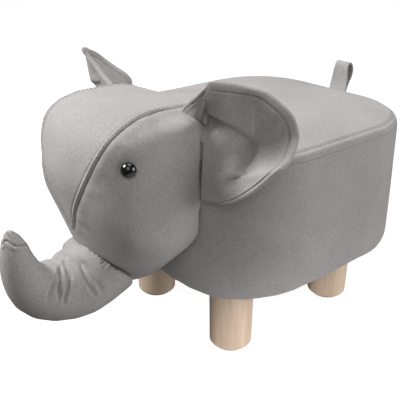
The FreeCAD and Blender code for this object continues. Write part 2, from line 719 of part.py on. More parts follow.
doc.recompute()
for thing in doc.Objects:
    if {"Invalid", "Error"} & set(thing.State):
        raise RuntimeError("%s did not recompute" % thing.Name)
os.makedirs("parts", exist_ok=True)
for node in nodes:
    if node.Shape.isNull() or not node.Shape.isValid():
        raise RuntimeError("%s has a bad shape" % node.Label)
    node.Shape.exportStep("parts/%s.step" % node.Label)
    box = node.Shape.BoundBox
    print("%-24s %d solids  x %.1f %.1f  y %.1f %.1f  z %.1f %.1f" % (
        node.Label, len(node.Shape.Solids), box.XMin, box.XMax, box.YMin, box.YMax, box.ZMin, box.ZMax))
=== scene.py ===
import math
import bpy
import numpy as np
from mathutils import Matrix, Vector, noise
from mathutils.bvhtree import BVHTree
from mathutils.kdtree import KDTree


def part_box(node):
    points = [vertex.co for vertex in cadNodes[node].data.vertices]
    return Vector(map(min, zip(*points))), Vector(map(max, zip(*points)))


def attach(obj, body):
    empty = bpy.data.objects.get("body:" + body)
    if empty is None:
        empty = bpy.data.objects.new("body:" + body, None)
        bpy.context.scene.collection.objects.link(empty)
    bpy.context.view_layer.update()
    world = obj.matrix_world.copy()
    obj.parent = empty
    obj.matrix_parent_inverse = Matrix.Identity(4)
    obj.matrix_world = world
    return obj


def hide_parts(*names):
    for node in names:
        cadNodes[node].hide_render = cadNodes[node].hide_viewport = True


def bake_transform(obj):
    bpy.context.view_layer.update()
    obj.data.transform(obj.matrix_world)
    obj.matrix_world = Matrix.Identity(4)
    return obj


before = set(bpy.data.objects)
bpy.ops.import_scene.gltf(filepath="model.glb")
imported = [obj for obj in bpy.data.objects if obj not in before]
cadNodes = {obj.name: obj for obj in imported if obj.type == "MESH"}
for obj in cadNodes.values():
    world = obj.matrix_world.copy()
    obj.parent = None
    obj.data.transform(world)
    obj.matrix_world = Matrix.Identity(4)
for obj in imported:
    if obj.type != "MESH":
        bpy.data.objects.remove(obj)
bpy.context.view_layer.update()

scene = bpy.context.scene
mm = 0.001
sharpAngle = math.radians(40)  # edges sharper than this stay crisp


def deselectAll():
    if bpy.context.object and bpy.context.object.mode != "OBJECT":
        bpy.ops.object.mode_set(mode="OBJECT")
    bpy.ops.object.select_all(action="DESELECT")


def takeUp(obj):
    deselectAll()
    obj.select_set(True)
    bpy.context.view_layer.objects.active = obj


def editAll(obj):
    takeUp(obj)
    bpy.ops.object.mode_set(mode="EDIT")
    bpy.ops.mesh.select_all(action="SELECT")


def closeEdit():
    bpy.ops.object.mode_set(mode="OBJECT")


def finishWith(obj, kind, **settings):
    takeUp(obj)
    modifier = obj.modifiers.new(kind.title(), kind)
    for key, value in settings.items():
        setattr(modifier, key, value)
    bpy.ops.object.modifier_apply(modifier=modifier.name)


def pointsOf(obj):
    flat = np.empty(3 * len(obj.data.vertices))
    obj.data.vertices.foreach_get("co", flat)
    return flat.reshape(-1, 3)


def normalsOf(obj):
    obj.data.update()
    flat = np.empty(3 * len(obj.data.vertices))
    obj.data.vertices.foreach_get("normal", flat)
    return flat.reshape(-1, 3)


def setPoints(obj, places):
    obj.data.vertices.foreach_set("co", places.ravel())
    obj.data.update()


def surfaceOf(obj):
    return BVHTree.FromPolygons([v.co for v in obj.data.vertices], [p.vertices for p in obj.data.polygons])


def onSurface(obj, line):
    tree = surfaceOf(obj)
    found = [tree.find_nearest(Vector(p)) for p in line]
    return np.array([f[0] for f in found]), np.array([f[1] for f in found])


def waves(points, height, size, shift):
    # soft unevenness from a noise; the shift picks the place in it
    away = Vector(shift)
    return height * np.array([noise.noise(Vector(p) / size + away) for p in points])


def bell(distance, width):
    return np.exp(-(distance / width) ** 2)


def bellAround(points, centre, width):
    return bell(np.linalg.norm(points - np.array(centre), axis=1), width)


def seamProfile(across, steps):
    # grooves and swellings beside a seam: place across it, height and width, in millimetres
    return sum(height * mm * bell(across - place * mm, width * mm) for place, height, width in steps)


def smoothStep(value, low, high):
    share = np.clip((value - low) / (high - low), 0, 1)
    return share * share * (3 - 2 * share)


def unit(ways):
    return ways / np.maximum(np.linalg.norm(ways, axis=-1, keepdims=True), 1e-9)


def lengthsAlong(line):
    return np.concatenate([[0], np.cumsum(np.linalg.norm(np.diff(line, axis=0), axis=1))])


def readAlong(at, marks, values):
    return np.stack([np.interp(at, marks, values[:, k]) for k in range(3)], axis=-1)


def smoothLine(points, step):
    # a Catmull-Rom line through the points, cut into even steps
    points = np.array(points, float)
    padded = np.vstack([2 * points[0] - points[1], points, 2 * points[-1] - points[-2]])
    fine = []
    for a, b, c, d in zip(padded, padded[1:], padded[2:], padded[3:]):
        bend, swing = 2 * a - 5 * b + 4 * c - d, 3 * (b - c) + d - a
        for u in np.linspace(0, 1, 24, endpoint=False):
            fine.append(b + 0.5 * u * (c - a + u * (bend + u * swing)))
    fine = np.array(fine + [points[-1]])
    run = lengthsAlong(fine)
    marks = np.linspace(0, run[-1], max(2, int(run[-1] / step) + 1))
    return readAlong(marks, run, fine)


def mirrored(line):
    return line * (-1, 1, 1)


def nearLine(points, line):
    # how far each point is from a line, and which mark of the line is nearest
    tree = KDTree(len(line))
    for k, place in enumerate(line):
        tree.insert(place, k)
    tree.balance()
    found = [tree.find(p) for p in points]
    return np.array([f[2] for f in found]), np.array([f[1] for f in found])


def refineNear(obj, line, reach):
    # more mesh along a seam, so that its groove comes out crisp
    takeUp(obj)
    distance = nearLine(pointsOf(obj), line)[0]
    bpy.ops.object.mode_set(mode="EDIT")
    bpy.ops.mesh.select_mode(type="FACE")
    bpy.ops.mesh.select_all(action="DESELECT")
    closeEdit()
    for polygon in obj.data.polygons:
        polygon.select = bool(min(distance[k] for k in polygon.vertices) < reach)
    bpy.ops.object.mode_set(mode="EDIT")
    bpy.ops.mesh.subdivide(number_cuts=1, smoothness=0)
    closeEdit()


creaseLook = {"fadeIn": 0.25, "fadeOut": 0.3, "ridge": 0.4, "ridgeOff": 2.1, "ridgeWide": 1.3}


def crease(places, line, depth, width):
    # a soft fold pressed in along a line, fading out at its ends, with a low ridge beside it
    look = creaseLook
    distance, mark = nearLine(places, line)
    share = mark / (len(line) - 1)
    fade = smoothStep(share, 0, look["fadeIn"]) * smoothStep(1 - share, 0, look["fadeOut"])
    beside = look["ridge"] * depth * bell(distance - look["ridgeOff"] * width, look["ridgeWide"] * width)
    return fade * (beside - depth * bell(distance, width))


def ridesOn(obj, body, material):
    # a piece given no body is attached to none
    obj.data.materials.clear()
    obj.data.materials.append(material)
    if body:
        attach(obj, body)


# stage: pale floor, soft light, the photograph's view

stageLook = {
    "cameraPlace": (0.5462, -0.4491, 0.4891), "cameraDown": 24.85, "cameraTurn": 50.60, "lens": 55.9,
    "skyLight": 0.08, "skySeen": 1.0,
    "topKey": {"place": (-0.9, -1.1, 1.6), "size": 0.8, "power": 44.0},
    "overhead": {"place": (0.0, 0.35, 2.0), "size": 1.1, "power": 9.0},
    "rightFill": {"place": (1.6, 1.4, 0.7), "size": 1.2, "power": 21.0},
    "frontFill": {"place": (1.2, -1.0, 1.6), "size": 1.4, "power": 9.5},
    "floorBounce": {"place": (0.42, 0.0, 0.004), "size": 0.7, "power": 0.7, "aim": (0.42, 0, 1)},
    "legFill": {"place": (0.8, -0.5, 0.03), "size": 0.15, "power": 0.058,
                "aim": (0.06, 0.06, -0.02), "spread": 19},
    "floorSize": 14, "floorTone": 0.25, "floorGlow": 0.95,
}


def hangLight(name, place, size, power, aim=(0, 0.03, 0.2), spread=180):
    bpy.ops.object.light_add(type="AREA", location=place)
    lamp = bpy.context.object
    lamp.name = name
    lamp.data.size = size
    lamp.data.energy = power
    lamp.data.spread = math.radians(spread)
    lamp.visible_camera = False
    lamp.rotation_euler = (Vector(aim) - Vector(place)).to_track_quat("-Z", "Y").to_euler()


def setStage():
    look = stageLook
    deselectAll()
    scene.view_settings.view_transform = "Standard"
    world = bpy.data.worlds.new("paleStudio")
    scene.world = world
    world.use_nodes = True
    tree = world.node_tree
    tree.nodes.clear()
    out = tree.nodes.new("ShaderNodeOutputWorld")
    mix = tree.nodes.new("ShaderNodeMixShader")
    path = tree.nodes.new("ShaderNodeLightPath")
    for slot, strength in ((1, look["skyLight"]), (2, look["skySeen"])):
        sky = tree.nodes.new("ShaderNodeBackground")
        sky.inputs["Color"].default_value = (1, 1, 1, 1)
        sky.inputs["Strength"].default_value = strength
        tree.links.new(sky.outputs[0], mix.inputs[slot])
    tree.links.new(path.outputs["Is Camera Ray"], mix.inputs[0])
    tree.links.new(mix.outputs[0], out.inputs["Surface"])
    for name in ("topKey", "overhead", "rightFill", "frontFill", "floorBounce", "legFill"):
        hangLight(name, **look[name])
    bpy.ops.mesh.primitive_plane_add(size=look["floorSize"], location=(0, 0, 0))
    floor = bpy.context.object
    floor.name = "studioFloor"
    paint = bpy.data.materials.new("paleFloor")
    paint.use_nodes = True
    shader = paint.node_tree.nodes["Principled BSDF"]
    tone = look["floorTone"]
    shader.inputs["Base Color"].default_value = (tone, tone, tone, 1)
    shader.inputs["Roughness"].default_value = 1.0
    shader.inputs["Specular IOR Level"].default_value = 0.0
    shader.inputs["Emission Color"].default_value = (1, 1, 1, 1)
    shader.inputs["Emission Strength"].default_value = look["floorGlow"]
    floor.data.materials.append(paint)
    floor.visible_diffuse = False  # the floor's bounce is a light of its own
    floor.visible_glossy = False
    bpy.ops.object.camera_add(location=look["cameraPlace"], rotation=(
        math.radians(90 - look["cameraDown"]), 0, math.radians(look["cameraTurn"])))
    camera = bpy.context.object
    camera.data.lens = look["lens"]
    camera.data.sensor_width = 36.0
    scene.camera = camera
    print("stage set")


# finishes


def put(tree, kind, values=None, **settings):
    node = tree.nodes.new(kind)
    for key, value in settings.items():
        setattr(node, key, value)
    for key, value in (values or {}).items():
        node.inputs[key].default_value = value
    return node


def newGroup(name, inputs, outputs):
    group = bpy.data.node_groups.new(name, "ShaderNodeTree")
    for label, kind, value in inputs:
        socket = group.interface.new_socket(label, in_out="INPUT", socket_type=kind)
        if value is not None:
            socket.default_value = value
    for label, kind in outputs:
        group.interface.new_socket(label, in_out="OUTPUT", socket_type=kind)
    return group, group.nodes.new("NodeGroupInput"), group.nodes.new("NodeGroupOutput")


def napGroup():
    # short brushed fibres over soft patches where the nap lies another way
    group, start, end = newGroup("brushedNap", [
        ("Vector", "NodeSocketVector", None), ("Patch", "NodeSocketFloat", 18.0),
        ("Fibre", "NodeSocketFloat", 620.0), ("Fibre Share", "NodeSocketFloat", 0.5)],
        [("Tone", "NodeSocketFloat"), ("Height", "NodeSocketFloat")])
    link = group.links.new
    patch = put(group, "ShaderNodeTexNoise", {"Detail": 3.0, "Roughness": 0.55, "Distortion": 0.4})
    fibre = put(group, "ShaderNodeTexNoise", {"Detail": 5.0, "Roughness": 0.7, "Distortion": 0.25})
    mix = put(group, "ShaderNodeMix", data_type="FLOAT")
    for noiseNode, scale in ((patch, "Patch"), (fibre, "Fibre")):
        link(start.outputs["Vector"], noiseNode.inputs["Vector"])
        link(start.outputs[scale], noiseNode.inputs["Scale"])
    link(start.outputs["Fibre Share"], mix.inputs["Factor"])
    link(patch.outputs["Fac"], mix.inputs["A"])
    link(fibre.outputs["Fac"], mix.inputs["B"])
    link(mix.outputs["Result"], end.inputs["Tone"])
    link(fibre.outputs["Fac"], end.inputs["Height"])
    return group


def grainGroup():
    # long streaks along one direction, as in sawn or turned timber
    group, start, end = newGroup("longGrain", [
        ("Vector", "NodeSocketVector", None), ("Scale", "NodeSocketFloat", 1.0)],
        [("Tone", "NodeSocketFloat"), ("Height", "NodeSocketFloat")])
    link = group.links.new
    broad = put(group, "ShaderNodeTexNoise", {"Scale": 45.0, "Detail": 3.0, "Distortion": 0.8})
    fine = put(group, "ShaderNodeTexNoise", {"Scale": 330.0, "Detail": 4.0, "Roughness": 0.6})
    size = put(group, "ShaderNodeVectorMath", operation="SCALE")
    mix = put(group, "ShaderNodeMix", {"Factor": 0.4}, data_type="FLOAT")
    link(start.outputs["Vector"], size.inputs[0])
    link(start.outputs["Scale"], size.inputs["Scale"])
    for noiseNode in (broad, fine):
        link(size.outputs["Vector"], noiseNode.inputs["Vector"])
    link(broad.outputs["Fac"], mix.inputs["A"])
    link(fine.outputs["Fac"], mix.inputs["B"])
    link(mix.outputs["Result"], end.inputs["Tone"])
    link(fine.outputs["Fac"], end.inputs["Height"])
    return group


def finish(name, group, values, tones, rough, bump, stretch=(1, 1, 1), turn=(0, 0, 0), **sockets):
    material = bpy.data.materials.new(name)
    material.use_nodes = True
    tree = material.node_tree
    link = tree.links.new
    shader = tree.nodes["Principled BSDF"]
    coords = put(tree, "ShaderNodeTexCoord")
    mapping = put(tree, "ShaderNodeMapping", {"Scale": stretch, "Rotation": turn})
    effect = put(tree, "ShaderNodeGroup", node_tree=group)
    for key, value in values.items():
        effect.inputs[key].default_value = value
    ramp = put(tree, "ShaderNodeValToRGB")
    low, high = ramp.color_ramp.elements
    low.position, high.position = tones.get("at", (0.3, 0.7))
    low.color, high.color = (*tones["dark"], 1), (*tones["light"], 1)
    link(coords.outputs["Object"], mapping.inputs["Vector"])
    link(mapping.outputs["Vector"], effect.inputs["Vector"])
    link(effect.outputs["Tone"], ramp.inputs["Fac"])
    link(ramp.outputs["Color"], shader.inputs["Base Color"])
    wear = put(tree, "ShaderNodeMapRange", {"To Min": rough[0], "To Max": rough[1]})
    link(effect.outputs["Tone"], wear.inputs["Value"])
    link(wear.outputs["Result"], shader.inputs["Roughness"])
    relief = put(tree, "ShaderNodeBump", {"Strength": bump[0], "Distance": bump[1]})
    link(effect.outputs["Height"], relief.inputs["Height"])
    link(relief.outputs["Normal"], shader.inputs["Normal"])
    for key, value in sockets.items():
        shader.inputs[key.replace("_", " ")].default_value = value
    return material


nap, grain = napGroup(), grainGroup()
greySuede = finish("greySuede", nap, {"Patch": 16.0, "Fibre": 430.0, "Fibre Share": 0.72},
                   {"at": (0.34, 0.66), "dark": (0.340, 0.322, 0.315), "light": (0.494, 0.471, 0.460)},
                   (0.86, 0.97), (0.5, 0.0010), Sheen_Weight=0.12, Sheen_Roughness=0.5,
                   Specular_IOR_Level=0.2)
greyThread = finish("greyThread", nap, {"Patch": 90.0, "Fibre": 1500.0, "Fibre Share": 0.6},
                    {"dark": (0.25, 0.237, 0.23), "light": (0.37, 0.355, 0.345)},
                    (0.6, 0.8), (0.4, 0.0003), Sheen_Weight=0.1)
paleBeech = finish("paleBeech", grain, {"Scale": 1.0},
                   {"at": (0.32, 0.68), "dark": (0.66, 0.47, 0.33), "light": (0.85, 0.68, 0.53)},
                   (0.5, 0.68), (0.12, 0.0004), stretch=(1, 1, 0.06), Coat_Weight=0.06, Coat_Roughness=0.45)
rawPlywood = finish("rawPlywood", grain, {"Scale": 0.8},
                    {"dark": (0.46, 0.32, 0.19), "light": (0.66, 0.5, 0.33)},
                    (0.65, 0.85), (0.2, 0.0005), stretch=(1, 0.07, 1))
rawSoftwood = finish("rawSoftwood", grain, {"Scale": 1.0},
                     {"dark": (0.52, 0.36, 0.2), "light": (0.74, 0.58, 0.38)},
                     (0.6, 0.8), (0.2, 0.0005), stretch=(1, 1, 0.07))
brownFibreboard = finish("brownFibreboard", nap, {"Patch": 60.0, "Fibre": 900.0, "Fibre Share": 0.6},
                         {"dark": (0.2, 0.12, 0.07), "light": (0.32, 0.21, 0.13)},
                         (0.7, 0.9), (0.2, 0.0004))
blackDustCloth = finish("blackDustCloth", nap, {"Patch": 120.0, "Fibre": 800.0, "Fibre Share": 0.7},
                        {"dark": (0.012, 0.012, 0.013), "light": (0.045, 0.045, 0.047)},
                        (0.8, 0.95), (0.5, 0.0005))
zincSteel = finish("zincSteel", nap, {"Patch": 160.0, "Fibre": 1400.0, "Fibre Share": 0.4},
                   {"dark": (0.5, 0.5, 0.49), "light": (0.68, 0.68, 0.66)},
                   (0.25, 0.42), (0.08, 0.0002), Metallic=1.0)
blackEye = finish("blackEye", nap, {"Patch": 90.0, "Fibre": 700.0, "Fibre Share": 0.3},
                  {"dark": (0.004, 0.004, 0.0045), "light": (0.009, 0.009, 0.0095)},
                  (0.08, 0.16), (0.02, 0.0001), Coat_Weight=0.6, Coat_Roughness=0.04)
whitePlastic = finish("whitePlastic", nap, {"Patch": 90.0, "Fibre": 900.0, "Fibre Share": 0.4},
                      {"dark": (0.68, 0.67, 0.64), "light": (0.78, 0.77, 0.74)},
                      (0.4, 0.5), (0.05, 0.0002))
feltBrown = finish("feltBrown", nap, {"Patch": 120.0, "Fibre": 1100.0, "Fibre Share": 0.7},
                   {"dark": (0.3, 0.24, 0.19), "light": (0.46, 0.38, 0.31)},
                   (0.88, 0.98), (0.6, 0.0006), Sheen_Weight=0.2)

cadFinishes = {
    "leg_": paleBeech, "foot_pad_": feltBrown, "post_": rawSoftwood, "base_board": rawPlywood,
    "top_board": rawPlywood, "side_wall": brownFibreboard, "dust_cover_staples": zincSteel,
    "frame_screws": zincSteel, "t_nuts": zincSteel, "hanger_bolt_": zincSteel, "eye_washer_": whitePlastic,
    "eye_left": blackEye, "eye_right": blackEye,
}


def dressCadNodes():
    for name, obj in cadNodes.items():
        for start, material in cadFinishes.items():
            if name.startswith(start):
                obj.data.materials.clear()
                obj.data.materials.append(material)
                break
    print("hard pieces finished")


# padded pieces: a block or a copy of the filling, remeshed and swelled as cloth

# how far a piece starts out, and how far the cloth may then move it, as shares of its own cap
swellLook = {"startShare": 0.8, "clothShare": 0.3, "smoothBy": 0.5, "steps": 20}


def copyOfNode(node, name):
    obj = bpy.data.objects.new(name, cadNodes[node].data.copy())
    scene.collection.objects.link(obj)
    obj.data.materials.clear()
    editAll(obj)
    bpy.ops.mesh.remove_doubles(threshold=0.00001)
    closeEdit()
    return obj


def swell(obj, look):
    finishWith(obj, "REMESH", mode="VOXEL", voxel_size=look["voxel"], use_smooth_shade=True)
    editAll(obj)
    bpy.ops.mesh.vertices_smooth(factor=swellLook["smoothBy"], repeat=look["smooth"])
    closeEdit()
    start = pointsOf(obj) + swellLook["startShare"] * look["cap"] * normalsOf(obj)
    setPoints(obj, start)
    cloth = obj.modifiers.new("Swell", "CLOTH")
    cloth.settings.use_pressure = True
    cloth.settings.uniform_pressure_force = look["pressure"]
    cloth.settings.effector_weights.gravity = 0
    for step in range(1, swellLook["steps"] + 1):
        scene.frame_set(step)
    bpy.ops.object.modifier_apply(modifier=cloth.name)
    moved = pointsOf(obj) - start
    far = np.linalg.norm(moved, axis=1)
    moved *= np.minimum(1, swellLook["clothShare"] * look["cap"] / np.maximum(far, 1e-9))[:, None]
    setPoints(obj, start + moved)
    scene.frame_set(1)
    finishWith(obj, "SUBSURF", levels=1, render_levels=1)
    bpy.ops.object.shade_smooth()
    print(obj.name, "swelled,", len(obj.data.vertices), "points")


stitchLook = {
    "long": 3.3 * mm, "pitch": 4.7 * mm, "thick": 0.5 * mm, "flat": 0.8, "sides": 6,
    "proud": 0.15 * mm, "endSink": 0.4 * mm,
    # four rings make a stitch: share along it, share of its thickness, and 1 where the end dips in
    "rings": ((-0.5, 0.35, 1), (-0.38, 1, 0), (0.38, 1, 0), (0.5, 0.35, 1)),
}


def sewStitches(name, runs, body):
    # each run is a line on the cloth with the cloth's normals; every stitch is a small flattened capsule
    look, n = stitchLook, stitchLook["sides"]
    turn = np.linspace(0, 2 * math.pi, n, endpoint=False)
    points, faces = [], []
    for line, ways in runs:
        marks = lengthsAlong(line)
        for at in np.arange(look["pitch"], marks[-1] - look["pitch"], look["pitch"]):
            spot = readAlong(at, marks, line)
            along = unit(readAlong(at + look["long"] / 2, marks, line) - spot)
            up = readAlong(at, marks, ways)
            up = unit(up - along * np.dot(up, along))
            across = np.cross(along, up)
            first = len(points)
            for place, wide, dips in look["rings"]:
                centre = spot + up * (look["proud"] - dips * look["endSink"]) + along * place * look["long"]
                for a in turn:
                    out = math.cos(a) * across + look["flat"] * math.sin(a) * up
                    points.append(centre + wide * look["thick"] * out)
            last = len(points) - n
            for ring in range(first, last, n):
                for k in range(n):
                    beside = ring + (k + 1) % n
                    faces.append((ring + k, beside, beside + n, ring + k + n))
            faces += [tuple(range(first, first + n)), tuple(range(last, last + n))]
    mesh = bpy.data.meshes.new(name)
    mesh.from_pydata(points, [], faces)
    obj = bpy.data.objects.new(name, mesh)
    scene.collection.objects.link(obj)
    editAll(obj)
    bpy.ops.mesh.normals_make_consistent(inside=False)
    closeEdit()
    bpy.ops.object.shade_smooth()
    ridesOn(obj, body, greyThread)
    print(name, "sewn,", len(points) // (n * len(look["rings"])), "stitches")
    return obj


seatLook = {
    "middle": (0, 88 * mm), "half": (151.5 * mm, 164.2 * mm), "corner": 104 * mm, "cornerSteps": 28,
    "hem": 93.2 * mm, "edge": 263 * mm, "startIn": 2 * mm,
    "crownIn": (0, 7, 9, 12, 26, 55, 92, 127), "crownRise": (-1.2, 0.2, 0.9, 1.7, 5.2, 8.6, 10.6, 11.2),
    "crownFrom": 14 * mm, "crownTo": 1 * mm,  # below the block's top
    "flareAt": (0, 0.04, 0.1, 0.5, 0.8, 1), "flareOut": (0.4, 0.9, 1, 0.72, 0.3, 0),
    "flare": 3 * mm, "flareIn": 30 * mm,
    "voxel": 4.5 * mm, "smooth": 8, "pressure": 4.0, "cap": 2.4 * mm,
    # the top seam and the stitch row below it: place, height and width, in millimetres
    "seamIn": 7 * mm, "seam": ((0, -1.5, 1.7), (-4.6, 0.5, 2.6), (4, 0.35, 3)), "seamDepth": 60 * mm,
    "stitchDown": 9.5 * mm, "stitchDent": ((0, -0.55, 1.5),),
    "stitchFrom": -0.32, "stitchTo": 1.32, "stitchRays": 700, "castFrom": 0.4,
    # uneven cloth: height, size and place in the noise
    "wave": (0.7 * mm, 0.075, (3.1, 0.7, 5.2)),
    "pucker": (0.35 * mm, 0.011, (7.3, 2.2, 1.4)), "puckerDown": 7 * mm, "puckerWide": 9 * mm,
    "hemWave": (1.0 * mm, 0.03, (1.9, 4.4, 2.6)), "hemWide": 16 * mm,
    "droop": (1.0, 0.034, (0.3, 9.1, 6.2)), "droopBy": 5 * mm, "droopFrom": 14 * mm, "droopLift": 0.1,
    # the cloth turned under, with room for the dust cover
    "underUpTo": 5 * mm, "underIn": (3 * mm, 11 * mm), "underDrop": 1.5 * mm, "underRise": 6 * mm,
}


def planInset(points):
    # how far inside the seat's outline a point is, seen from above
    corner = seatLook["corner"]
    past = np.abs(points[:, :2] - seatLook["middle"]) - (np.array(seatLook["half"]) - corner)
    return corner - np.linalg.norm(np.maximum(past, 0), axis=1) - np.minimum(past.max(axis=1), 0)


def planWay(points):
    # straight out of the seat's outline, seen from above
    away = points[:, :2] - seatLook["middle"]
    past = np.abs(away) - (np.array(seatLook["half"]) - seatLook["corner"])
    way = np.maximum(past, 0)
    inner = way.sum(axis=1) <= 0
    way[inner, :] = past[inner] >= past[inner].max(axis=1, keepdims=True)
    return unit(way * np.where(away < 0, -1, 1))


def crownAt(points):
    return mm * np.interp(planInset(points) / mm, seatLook["crownIn"], seatLook["crownRise"])


def makeSeat():
    look = seatLook
    half, inset, low, high = look["half"], look["startIn"], look["hem"], look["edge"] - look["startIn"]
    deselectAll()
    bpy.ops.mesh.primitive_cube_add(size=1, location=(*look["middle"], (low + high) / 2), scale=(
        2 * (half[0] - inset), 2 * (half[1] - inset), high - low))
    seat = bpy.context.object
    seat.name = "seatCushion"
    bpy.ops.object.transform_apply(location=True, rotation=True, scale=True)
    bpy.ops.object.mode_set(mode="EDIT")
    bpy.ops.mesh.select_mode(type="EDGE")
    bpy.ops.mesh.select_all(action="DESELECT")
    closeEdit()
    for edge in seat.data.edges:
        a, b = (seat.data.vertices[k].co for k in edge.vertices)
        edge.select = abs(a.z - b.z) > (high - low) / 2  # the four upright edges
    bpy.ops.object.mode_set(mode="EDIT")
    bpy.ops.mesh.bevel(offset=look["corner"] - inset, segments=look["cornerSteps"], affect="EDGES")
    closeEdit()
    finishWith(seat, "REMESH", mode="VOXEL", voxel_size=look["voxel"])
    places = pointsOf(seat)
    upper = smoothStep(places[:, 2], high - look["crownFrom"], high - look["crownTo"])
    share = (places[:, 2] - low) / (look["edge"] - low)
    flare = look["flare"] * np.interp(share, look["flareAt"], look["flareOut"])
    places[:, 2] += upper * crownAt(places)
    nearSide = smoothStep(-planInset(places), -look["flareIn"], 0)
    places[:, :2] += planWay(places) * (flare * nearSide)[:, None]
    setPoints(seat, places)
    swell(seat, look)
    shapeSeatSeams(seat)
    return seat


def shapeSeatSeams(seat):
    look = seatLook
    places, normals = pointsOf(seat), normalsOf(seat)
    inset, height = planInset(places), places[:, 2].copy()
    below = look["edge"] - height
    across = np.where(inset > look["seamIn"], inset - look["seamIn"],
                      -np.hypot(look["seamIn"] - inset, np.maximum(below, 0)))
    across = np.where(height < look["edge"] - look["seamDepth"], -1, across)  # far from the seam
    shift = seamProfile(across, look["seam"]) + seamProfile(across + look["stitchDown"], look["stitchDent"])
    shift += waves(places, *look["wave"])
    nearSeam = bell(across + look["puckerDown"], look["puckerWide"])
    shift += waves(places * (1, 1, 0.25), *look["pucker"]) * nearSeam
    nearHem = bell(height - look["hem"], look["hemWide"])
    shift += waves(places * (1, 1, 0.3), *look["hemWave"]) * nearHem
    places += normals * shift[:, None]
    lowest = smoothStep(-places[:, 2], -look["hem"] - look["droopFrom"], -look["hem"])
    droop = waves(places * (1, 1, 0), *look["droop"]) * lowest
    places[:, 2] -= look["droopBy"] * np.maximum(droop, -look["droopLift"])
    inset = planInset(places)
    under = (places[:, 2] < look["hem"] + look["underUpTo"]) & (inset > look["underIn"][0])
    turned = look["hem"] - look["underDrop"] + look["underRise"] * smoothStep(inset, *look["underIn"])
    places[under, 2] = np.maximum(places[under, 2], turned[under])
    setPoints(seat, places)


def seatStitchRun(seat):
    # round the sides and back; the head covers the front
    tree, look = surfaceOf(seat), seatLook
    line, ways = [], []
    for a in np.linspace(look["stitchFrom"], look["stitchTo"], look["stitchRays"]) * math.pi:
        way = Vector((math.cos(a), math.sin(a), 0))
        start = Vector((*look["middle"], look["edge"] - look["stitchDown"])) + look["castFrom"] * way
        spot, normal, *_ = tree.ray_cast(start, -way)
        line.append(spot)
        ways.append(normal)
    return np.array(line), np.array(ways)


trunkLook = {
    "voxel": 2.3 * mm, "smooth": 8, "pressure": 4.0, "cap": 2.6 * mm,
    # folds at the bend: points down the left side, depth and width, in millimetres
    "folds": (
        (((4, -199, 148), (9.4, -201.5, 147), (22.1, -207.6, 141.4), (29, -214.6, 131.6), (32.4, -217.8, 117)),
         3.2, 1.9),
        (((14, -204, 145), (20.5, -212.3, 141.2), (25.7, -222.1, 135.5), (28.1, -227.2, 129.5), (29, -231, 122)),
         1.6, 1.8),
        (((20, -198, 141), (27, -200.9, 136.6), (30.9, -204.7, 130.9), (33.2, -211.1, 123), (34, -214, 113)),
         2.6, 1.8),
        (((-6, -190, 153), (12.7, -196.7, 146.8), (25.6, -196.8, 138.8), (32, -196, 130)), 1.7, 2.2),
        (((16, -187, 151), (23.8, -184.7, 147.4), (33.5, -184.4, 135.4), (38.5, -181.5, 122.7), (40, -179, 112)),
         2.4, 2.3),
        (((18, -183, 152), (25.9, -180.1, 148.8), (36.1, -176.8, 135.9), (40.1, -173.3, 122.7), (41, -171, 114)),
         2.0, 2.5),
        (((-5, -187.7, 154.3), (21.5, -183.2, 150.2), (31.1, -180.4, 142.4), (37, -178, 132)), 1.3, 2.6),
        (((34, -164, 155), (40, -162, 140), (42, -160, 124)), 0.9, 3.4),
    ),
    "rightFolds": 0.8, "rightWide": 1.1, "foldMesh": 5 * mm, "wave": (0.8 * mm, 0.05, (6.1, 1.2, 3.3)),
    "tip": (0, -249.5 * mm, 203.5 * mm), "pinch": 17 * mm, "pinchBy": 0.75,
    "tipSeams": (((0, -256, 188), (3.9, -253.3, 192.6), (11, -247.9, 188), (10.5, -238.2, 185), (4, -230, 180.5)),
                 ((0, -248, 202), (4, -249, 197), (7.6, -248.5, 193.6), (11, -247.9, 188))),
    "tipSeam": ((0, -1.3, 0.9), (3, 0.5, 2)), "tipMesh": 3 * mm,
    # where it leaves the head: a dip at the neck, a lower top, and sides that stand flush with the cheeks
    "neck": (-6 * mm, -176 * mm, 162 * mm), "neckDip": 5 * mm, "neckWide": 17 * mm,
    "topAt": -188 * mm, "topDip": 3.5 * mm, "topWide": 24 * mm,
    "flush": 3 * mm, "flushFrom": (-212 * mm, -165 * mm), "flushBelow": (-165 * mm, -135 * mm),
}


def makeTrunk():
    look = trunkLook
    trunk = copyOfNode("trunk_stuffing", "trunkCushion")
    swell(trunk, look)
    places = pointsOf(trunk)
    near = bellAround(places, look["tip"], look["pinch"])
    setPoints(trunk, places + look["pinchBy"] * near[:, None] ** 2 * (np.array(look["tip"]) - places))
    folds = [(smoothLine(np.array(points) * mm, 0.5 * mm), depth * mm, width * mm)
             for points, depth, width in look["folds"]]
    folds += [(mirrored(line), look["rightFolds"] * depth, look["rightWide"] * width)
              for line, depth, width in folds]
    seams = [smoothLine(np.array(points) * mm, 0.4 * mm) for points in look["tipSeams"]]
    seams += [mirrored(line) for line in seams]
    refineNear(trunk, np.vstack([line for line, *_ in folds] + seams), look["foldMesh"])
    refineNear(trunk, np.vstack(seams), look["tipMesh"])
    places, normals = pointsOf(trunk), normalsOf(trunk)
    shift = waves(places, *look["wave"])
    for line, depth, width in folds:
        shift += crease(places, line, depth, width)
    for line in seams:
        shift += seamProfile(nearLine(places, line)[0], look["tipSeam"])
    shift -= look["neckDip"] * bellAround(places, look["neck"], look["neckWide"])
    top = bell(places[:, 1] - look["topAt"], look["topWide"])
    shift -= look["topDip"] * top * np.maximum(normals[:, 2], 0)
    sides = smoothStep(places[:, 1], *look["flushFrom"]) * np.abs(normals[:, 0]) ** 2
    shift += look["flush"] * sides * smoothStep(-places[:, 2], *look["flushBelow"])
    setPoints(trunk, places + normals * shift[:, None])
    return trunk


